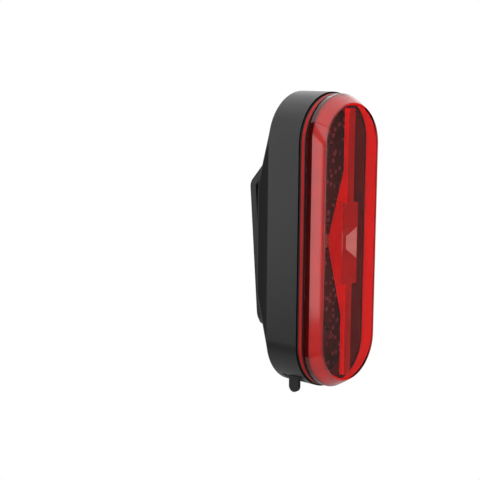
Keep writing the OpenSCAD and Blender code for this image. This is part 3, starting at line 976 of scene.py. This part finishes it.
class REARLIGHT_OT_stage(bpy.types.Operator):
    """Camera, pale floor and soft studio light"""

    bl_idname = "rearlight.stage"
    bl_label = "Stage"

    def execute(self, context):
        scene = context.scene
        st = scene.rear_light_stage
        scene.view_settings.view_transform = "Standard"
        a, e = st.azimuth, st.elevation
        back = Vector((math.sin(a) * math.cos(e), -math.cos(a) * math.cos(e), math.sin(e)))
        middle = Vector((0, SEAM_Y, 0))
        deselect_all()
        bpy.ops.object.camera_add(location=middle + back * st.distance)
        cam = context.view_layer.objects.active
        cam.name = "photo_camera"
        turn = (-back).to_track_quat("-Z", "Y") @ Quaternion((0, 0, 1), st.roll)
        cam.rotation_mode = "QUATERNION"
        cam.rotation_quaternion = turn
        cam.data.sensor_width = SENSOR_WIDTH
        cam.data.lens = st.focal
        cam.data.shift_x = st.shift_x
        cam.data.shift_y = st.shift_y
        cam.data.clip_start = CLIP_START
        scene.camera = cam

        bpy.ops.mesh.primitive_plane_add(size=st.floor_size, location=(0, 0, st.floor_z))
        floor = context.view_layer.objects.active
        floor.name = "studio_floor"
        floor.data.materials.append(self.floor_finish())
        self.sky(scene, -back)
        for lamp in LAMPS:
            self.softbox(*lamp)
        return {"FINISHED"}

    def softbox(self, name, place, target, wide, tall, radiance):
        """A soft lamp that faces a point."""
        deselect_all()
        bpy.ops.object.light_add(type="AREA", location=place)
        lamp = bpy.context.view_layer.objects.active
        lamp.name = name
        aim = Vector(target) - Vector(place)
        lamp.rotation_mode = "QUATERNION"
        lamp.rotation_quaternion = aim.to_track_quat("-Z", "Y")
        lamp.data.shape = "RECTANGLE"
        lamp.data.size = wide
        lamp.data.size_y = tall
        lamp.data.energy = radiance * math.pi * wide * tall

    def seen_clear(self, tree, path):
        """One where the camera looks, straight or through glass, and else zero."""
        clear = add(tree, "ShaderNodeMath", operation="MAXIMUM")
        tree.links.new(path.outputs["Is Camera Ray"], clear.inputs[0])
        tree.links.new(path.outputs["Is Transmission Ray"], clear.inputs[1])
        return clear.outputs[0]

    def floor_finish(self):
        """White to the camera and through glass, a matt grey for the rest."""
        mat = bpy.data.materials.new("floor_pale")
        mat.use_nodes = True
        tree = mat.node_tree
        tree.nodes.clear()
        out = add(tree, "ShaderNodeOutputMaterial")
        path = add(tree, "ShaderNodeLightPath")
        matt = add(tree, "ShaderNodeBsdfDiffuse", Color=FLOOR_GREY)
        glow = add(tree, "ShaderNodeEmission")
        both = add(tree, "ShaderNodeAddShader")
        level = add(tree, "ShaderNodeMath", operation="MULTIPLY_ADD")
        level.inputs[1].default_value = FLOOR_GLOSSY
        tree.links.new(path.outputs["Is Glossy Ray"], level.inputs[0])
        tree.links.new(self.seen_clear(tree, path), level.inputs[2])
        tree.links.new(level.outputs[0], glow.inputs["Strength"])
        tree.links.new(matt.outputs[0], both.inputs[0])
        tree.links.new(glow.outputs[0], both.inputs[1])
        tree.links.new(both.outputs[0], out.inputs["Surface"])
        return mat

    def sky(self, scene, forward):
        """White to the camera and through glass, a soft grey for the rest."""
        low, high = ROOM_GLOSSY
        start, end = ROOM_RISE
        world = bpy.data.worlds.new("studio")
        scene.world = world
        world.use_nodes = True
        tree = world.node_tree
        tree.nodes.clear()
        out = add(tree, "ShaderNodeOutputWorld")
        shader = add(tree, "ShaderNodeBackground", Color=(1, 1, 1, 1))
        path = add(tree, "ShaderNodeLightPath")
        where = add(tree, "ShaderNodeTexCoord")
        dot = add(tree, "ShaderNodeVectorMath", operation="DOT_PRODUCT")
        dot.inputs[1].default_value = forward
        tree.links.new(where.outputs["Generated"], dot.inputs[0])
        behind = spread(tree, dot.outputs["Value"], low, high, start, end)
        soft = add(tree, "ShaderNodeMix", data_type="FLOAT")
        soft.inputs["A"].default_value = ROOM_MATT
        tree.links.new(path.outputs["Is Glossy Ray"], soft.inputs["Factor"])
        tree.links.new(behind, soft.inputs["B"])
        seen = add(tree, "ShaderNodeMath", operation="MAXIMUM")
        tree.links.new(soft.outputs["Result"], seen.inputs[0])
        tree.links.new(self.seen_clear(tree, path), seen.inputs[1])
        tree.links.new(seen.outputs[0], shader.inputs["Strength"])
        tree.links.new(shader.outputs[0], out.inputs["Surface"])


class REARLIGHT_OT_housing(bpy.types.Operator):
    """Black moulded housing with its raised back"""

    bl_idname = "rearlight.housing"
    bl_label = "Housing"

    def smooth_back(self):
        """The raised back as clean rings, from the side wall to the flat."""
        sz = bpy.context.scene.rear_light_back
        wide = HOUSING_HIGH.x - HOUSING_LOW.x
        tall = HOUSING_HIGH.z - HOUSING_LOW.z
        rings = [(wide / 2, -sz.depth, (tall - wide) / 2, 0)]
        for step in range(1, sz.steps + 1):
            a = math.pi / 2 * step / sz.steps
            y = -sz.rounding * (1 - math.sin(a))
            side = sz.taper + ((wide - sz.width) / 2 - sz.taper) * (1 - math.cos(a))
            end = sz.slope * (1 + y / sz.depth)
            r = wide / 2 - side
            rings.append((r, y, tall / 2 - end - r, 0))
        r, y, half, _ = rings[0]
        back = start_outline("smooth_back", r, y, half, sz.arc_steps)
        carry_outline(back, rings)
        bpy.ops.mesh.select_all(action="SELECT")
        bpy.ops.mesh.normals_make_consistent(inside=False)
        bpy.ops.object.mode_set(mode="OBJECT")
        return back

    def execute(self, context):
        shell = copy_of_node("rear_housing", "housing_shell")
        smooth_by_angle(shell, HOUSING_HARD)
        follow_large_faces(shell)
        back = self.smooth_back()
        borrow_normals(shell, back, BACK_REACH)
        make_active(back)
        bpy.ops.object.delete()
        black = moulded("housing_black", finishes().housing, rough=0.35, shine=0.55)
        shell.data.materials.append(black)
        seat(shell, "light", "housing_black", "rear_housing")
        return {"FINISHED"}


class REARLIGHT_OT_lens(bpy.types.Operator):
    """Clear red cover with its two facets and its flat face"""

    bl_idname = "rearlight.lens"
    bl_label = "Lens"

    def add_finishes(self, lens):
        """One slot per kind of wall, in the order that execute counts them."""
        red = finishes()
        for material in (
            red_clear("lens_red", red.lens),
            red_frost("lens_red_frost", red.lens_side),
            red_clear("lens_red_front", red.lens_front),
            red_clear("lens_red_inner", red.lens_front, shine=0.0),
            red_clear("lens_red_matt", red.lens_front, shine=0.0, rough=0.45),
            # Painted shade inside the skirt, seen through the lower facet
            moulded("lens_red_painted_shade", red.lens_rim_painted_shade, rough=0.5),
            moulded("lens_red_base", red.lens_base, rough=0.5),
            moulded("lens_red_edge", red.lens, rough=0.4, shine=0.1),
            # Painted light: a lighter copy of the lens red on the upper facet's inside
            frosted("lens_red_painted_light", shade(red.lens, red.lens_painted_light)),
        ):
            lens.data.materials.append(material)

    def execute(self, context):
        sz = context.scene.rear_light_lens
        half = sz.straight / 2
        back_y = LENS_HIGH.y
        face_y = LENS_LOW.y
        flange_y = SEAM_Y - sz.seal_t
        top_y = flange_y - sz.flange_t
        crease_y = SEAM_Y - sz.crease_depth
        inner_r = sz.skirt_r - sz.skirt_t
        swell_r = (sz.crease_r + sz.face_r) / 2 + sz.bulge
        inner_crease_r = sz.crease_r - sz.wall - sz.inner_extra
        lens = start_outline("lens_cover", inner_r, back_y, half, sz.arc_steps)
        self.add_finishes(lens)
        clear, frost, front, inner, matt, dark, base, edge, glow = range(9)
        outside = [
            (inner_r, back_y, half, base),
            (sz.skirt_r, back_y, half, base),
            (sz.skirt_r, flange_y, half, base),
            (sz.flange_r, flange_y, half, base),
            (sz.flange_r, flange_y - sz.line_back, half, base),
            (sz.flange_r, top_y + sz.line_front, half, edge),
            (sz.flange_r, top_y, half, base),
            (sz.step_r, top_y, half + sz.end_step, base),
            (sz.crease_r, crease_y, half + sz.end_crease, clear),
            (swell_r, (crease_y + face_y) / 2, half + (sz.end_crease - sz.end_face) / 2, frost),
            (sz.face_r, face_y, half - sz.end_face, frost),
        ]
        carry_outline(lens, outside)
        cap_outline(lens, front)

        def first_ring(v):
            r = math.hypot(v.co.x, max(0.0, abs(v.co.z) - half))
            return abs(v.co.y - back_y) < NEAR and r < inner_r + NEAR

        pick_verts(lens, first_ring)
        inside = [
            # The skirt's inside takes the painted shade up to the rim height
            (inner_r, back_y, half, dark),
            (inner_r, top_y - sz.rim_h, half, dark),
            (inner_crease_r, crease_y + sz.inner_back, half + sz.end_crease, matt),
            # The upper facet's inside takes the painted light
            (sz.face_r - sz.rim_wall, face_y + sz.wall, half - sz.end_face, glow),
        ]
        carry_outline(lens, inside)
        cap_outline(lens, inner)
        bpy.ops.mesh.select_all(action="SELECT")
        bpy.ops.mesh.normals_make_consistent(inside=False)
        pick_edges(lens, lambda e: all(abs(v.co.y - face_y) < NEAR for v in e.verts))
        bpy.ops.mesh.bevel(
            offset=sz.edge_r, segments=FRONT_EDGE_STEPS, affect="EDGES", profile=0.5
        )
        bpy.ops.object.mode_set(mode="OBJECT")
        round_edges(lens, *LENS_ROUNDING)
        bpy.ops.object.mode_set(mode="EDIT")
        pick_edges(lens, lambda e: all(abs(v.co.y - crease_y) < NEAR for v in e.verts))
        bpy.ops.mesh.mark_sharp()
        bpy.ops.object.mode_set(mode="OBJECT")
        smooth_by_angle(lens, LENS_HARD)
        follow_large_faces(lens)
        seat(lens, "light", "lens_red", "front_lens")
        return {"FINISHED"}


class REARLIGHT_OT_seal(bpy.types.Operator):
    """Black ring in the seam"""

    bl_idname = "rearlight.seal"
    bl_label = "Seal"

    def execute(self, context):
        rubber = moulded("rubber_seal", finishes().rubber, rough=0.68, grain=5000.0, depth=0.2)
        dress_node("lens_seal", rubber)
        return {"FINISHED"}


class REARLIGHT_OT_guide(bpy.types.Operator):
    """Frosted light guide with the notch over the lamp"""

    bl_idname = "rearlight.guide"
    bl_label = "Light guide"

    def reshape(self, guide):
        """Moves the rib to the face, with longer ends and a shallower V and notch."""
        sz = bpy.context.scene.rear_light_guide
        rib_y = GUIDE_LOW.y + RIB_DEPTH
        notch_y = GUIDE_LOW.y + NOTCH_DEPTH
        pins_y = GUIDE_LOW.y + PIN_DEPTH

        def notch_floor(v):
            x, y, z = v.co
            return abs(x) < NOTCH_FLOOR_X and y < notch_y and abs(z) < NOTCH_FLOOR_Z

        make_active(guide)
        bpy.ops.object.mode_set(mode="EDIT")
        pick_verts(guide, lambda v: rib_y + RIB_MARGIN < v.co.y < pins_y)
        bpy.ops.transform.resize(value=(1, sz.v_depth, 1), center_override=(0, rib_y, 0))
        pick_verts(guide, notch_floor)
        bpy.ops.transform.translate(value=(0, -sz.notch_rise, 0))
        pick_verts(guide, lambda v: V_START[0] < abs(v.co.z) < V_START[1])
        bpy.ops.transform.resize(value=(1, 1, sz.v_reach), center_override=(0, 0, 0))
        for side in (1, -1):
            pick_verts(guide, lambda v: v.co.z * side > RIB_END)
            bpy.ops.transform.translate(value=(0, 0, side * sz.longer))
        pick_verts(guide, lambda v: v.co.y < pins_y)
        bpy.ops.transform.translate(value=(0, -sz.forward, 0))
        bpy.ops.object.mode_set(mode="OBJECT")

    def slot_of(self, face, verts):
        """Slot of a face: 0 for the rib, 1 for the notch's painted reflection, 2 for a flank
        with painted light, 3 for a pin in painted shade.
        """
        mid, normal = face.center, face.normal
        deep = mid.y - GUIDE_LOW.y
        tall = max(abs(verts[i].co.z) for i in face.vertices)
        slanted = NOTCH_SLANT[0] < abs(normal.y) < NOTCH_SLANT[1]
        facet = slanted and abs(normal.z) < NOTCH_SLANT_Z and face.area > NOTCH_AREA
        over_lamp = abs(mid.x) < NOTCH_X and tall < NOTCH_Z
        if facet and over_lamp and -NOTCH_FRONT < deep < NOTCH_DEPTH:
            return 1
        if deep > PIN_ROOT and abs(mid.x) < PIN_X and PIN_Z[0] < abs(mid.z) < PIN_Z[1]:
            return 3
        return 2 if abs(normal.x) > FLANK_TURN else 0

    def execute(self, context):
        look = finishes()
        guide = copy_of_node("light_guide", "guide_rib")
        self.reshape(guide)
        round_edges(guide, *GUIDE_ROUNDING)
        smooth_by_angle(guide, GUIDE_HARD)
        for material in (
            frosted("guide_clear", look.guide),
            # Painted reflection on the notch's facets
            plain_part("guide_notch_painted_reflection", look.notch, rough=0.25),
            # Painted light on the flanks: a lighter copy of the guide's tint
            frosted("guide_flank_painted_light", shade(look.guide, look.painted_flank_light)),
            # Painted shade: the clear pins take the dark red of the skirt, as if they lay in
            # shadow
            moulded("guide_pins_painted_shade", look.lens_rim_painted_shade, rough=0.5),
        ):
            guide.data.materials.append(material)
        for face in guide.data.polygons:
            face.material_index = self.slot_of(face, guide.data.vertices)
        seat(guide, "light", "guide_clear", "light_guide")
        return {"FINISHED"}


class REARLIGHT_OT_board(bpy.types.Operator):
    """Board with the lamp, the chips and the small parts"""

    bl_idname = "rearlight.board"
    bl_label = "Board"

    def execute(self, context):
        look = finishes()
        dress_node("main_board", board_mask("board_mask", look.board, look.pads))
        dress_node("led_emitter", plain_part("led_body", look.lamp, rough=0.35))
        chip = plain_part("chip_black", look.chip, rough=0.42)
        for node in ("board_resistors", "driver_chip", "charger_chip", "tact_switch"):
            dress_node(node, chip)
        dress_node("board_capacitors", plain_part("capacitor_tan", look.capacitor, rough=0.45))
        dress_node("battery_connector", plain_part("connector_cream", look.connector, rough=0.5))
        dress_node("board_screws", plain_part("screw_black", look.screw, rough=0.32, metal=0.9))
        return {"FINISHED"}


class REARLIGHT_OT_battery(bpy.types.Operator):
    """Cell, foam pad and leads"""

    bl_idname = "rearlight.battery"
    bl_label = "Battery"

    def execute(self, context):
        look = finishes()
        foam = plain_part("foam_grey", look.foam, rough=0.9, grain=2500.0, depth=0.5)
        dress_node("battery_cell", foil("cell_foil", look.foil))
        dress_node("battery_pad", foam)
        dress_node("battery_lead_red", plain_part("lead_red", look.lead, rough=0.4))
        dress_node("battery_lead_black", moulded("lead_black", look.rubber, rough=0.45))
        return {"FINISHED"}


class REARLIGHT_OT_socket(bpy.types.Operator):
    """Charging socket with its tongue"""

    bl_idname = "rearlight.socket"
    bl_label = "Charging socket"

    def execute(self, context):
        look = finishes()
        steel = plain_part(
            "socket_steel", look.steel, rough=0.26, metal=1.0, grain=2200.0, depth=0.05
        )
        dress_node("charge_socket", steel)
        dress_node("socket_tongue", moulded("tongue_black", look.rubber, rough=0.45))
        return {"FINISHED"}


class REARLIGHT_OT_cover(bpy.types.Operator):
    """Rubber cover with its pull tab"""

    bl_idname = "rearlight.cover"
    bl_label = "Port cover"

    def execute(self, context):
        flap = copy_of_node("port_cover", "port_flap")
        round_edges(flap, *COVER_ROUNDING)
        smooth_by_angle(flap, SMALL_HARD)
        rubber = moulded("rubber_cover", finishes().rubber, rough=0.66, grain=5000.0, depth=0.2)
        flap.data.materials.append(rubber)
        seat(flap, "cover", "rubber_black", "port_cover")
        return {"FINISHED"}


class REARLIGHT_OT_button(bpy.types.Operator):
    """Oval button with the plunger of the switch"""

    bl_idname = "rearlight.button"
    bl_label = "Button"

    def execute(self, context):
        look = finishes()
        cap = copy_of_node("power_button", "button_cap")
        round_edges(cap, *BUTTON_ROUNDING)
        smooth_by_angle(cap, SMALL_HARD)
        cap.data.materials.append(moulded("button_black", look.button, rough=0.46))
        seat(cap, "button", "button_black", "power_button")
        dress_node("switch_plunger", plain_part("plunger_black", look.plunger, rough=0.4))
        return {"FINISHED"}


class REARLIGHT_OT_clip(bpy.types.Operator):
    """Spring clip on the back"""

    bl_idname = "rearlight.clip"
    bl_label = "Clip"

    def execute(self, context):
        clip = copy_of_node("belt_clip", "clip_spring")
        round_edges(clip, *CLIP_ROUNDING)
        smooth_by_angle(clip, SMALL_HARD)
        clip.data.materials.append(moulded("clip_black", finishes().clip, rough=0.42, shine=0.5))
        seat(clip, "clip", "clip_black", "belt_clip")
        return {"FINISHED"}


class REARLIGHT_PT_tools(bpy.types.Panel):
    """Lists the pieces of the light"""

    bl_idname = "REARLIGHT_PT_tools"
    bl_label = "Rear Light"
    bl_space_type = "VIEW_3D"
    bl_region_type = "UI"
    bl_category = "Rear Light"

    def draw(self, context):
        for op in OPERATORS:
            self.layout.operator(op.bl_idname)
        for name in PROPERTIES:
            group = getattr(context.scene, name)
            box = self.layout.box()
            for key in group.__annotations__:
                box.prop(group, key)


OPERATORS = (
    REARLIGHT_OT_stage,
    REARLIGHT_OT_housing,
    REARLIGHT_OT_lens,
    REARLIGHT_OT_seal,
    REARLIGHT_OT_guide,
    REARLIGHT_OT_board,
    REARLIGHT_OT_battery,
    REARLIGHT_OT_socket,
    REARLIGHT_OT_cover,
    REARLIGHT_OT_button,
    REARLIGHT_OT_clip,
)
PROPERTIES = {
    "rear_light_lens": LensSizes,
    "rear_light_back": BackSizes,
    "rear_light_guide": GuideSizes,
    "rear_light_finishes": Finishes,
    "rear_light_stage": StageSizes,
}


def register():
    for name, group in PROPERTIES.items():
        bpy.utils.register_class(group)
        setattr(bpy.types.Scene, name, bpy.props.PointerProperty(type=group))
    for op in OPERATORS:
        bpy.utils.register_class(op)
    bpy.utils.register_class(REARLIGHT_PT_tools)


def unregister():
    bpy.utils.unregister_class(REARLIGHT_PT_tools)
    for op in reversed(OPERATORS):
        bpy.utils.unregister_class(op)
    for name, group in PROPERTIES.items():
        delattr(bpy.types.Scene, name)
        bpy.utils.unregister_class(group)


def main():
    register()
    bpy.ops.rearlight.stage()
    bpy.ops.rearlight.housing()
    bpy.ops.rearlight.lens()
    bpy.ops.rearlight.seal()
    bpy.ops.rearlight.guide()
    bpy.ops.rearlight.board()
    bpy.ops.rearlight.battery()
    bpy.ops.rearlight.socket()
    bpy.ops.rearlight.cover()
    bpy.ops.rearlight.button()
    bpy.ops.rearlight.clip()
    deselect_all()


if __name__ == "__main__":
    main()
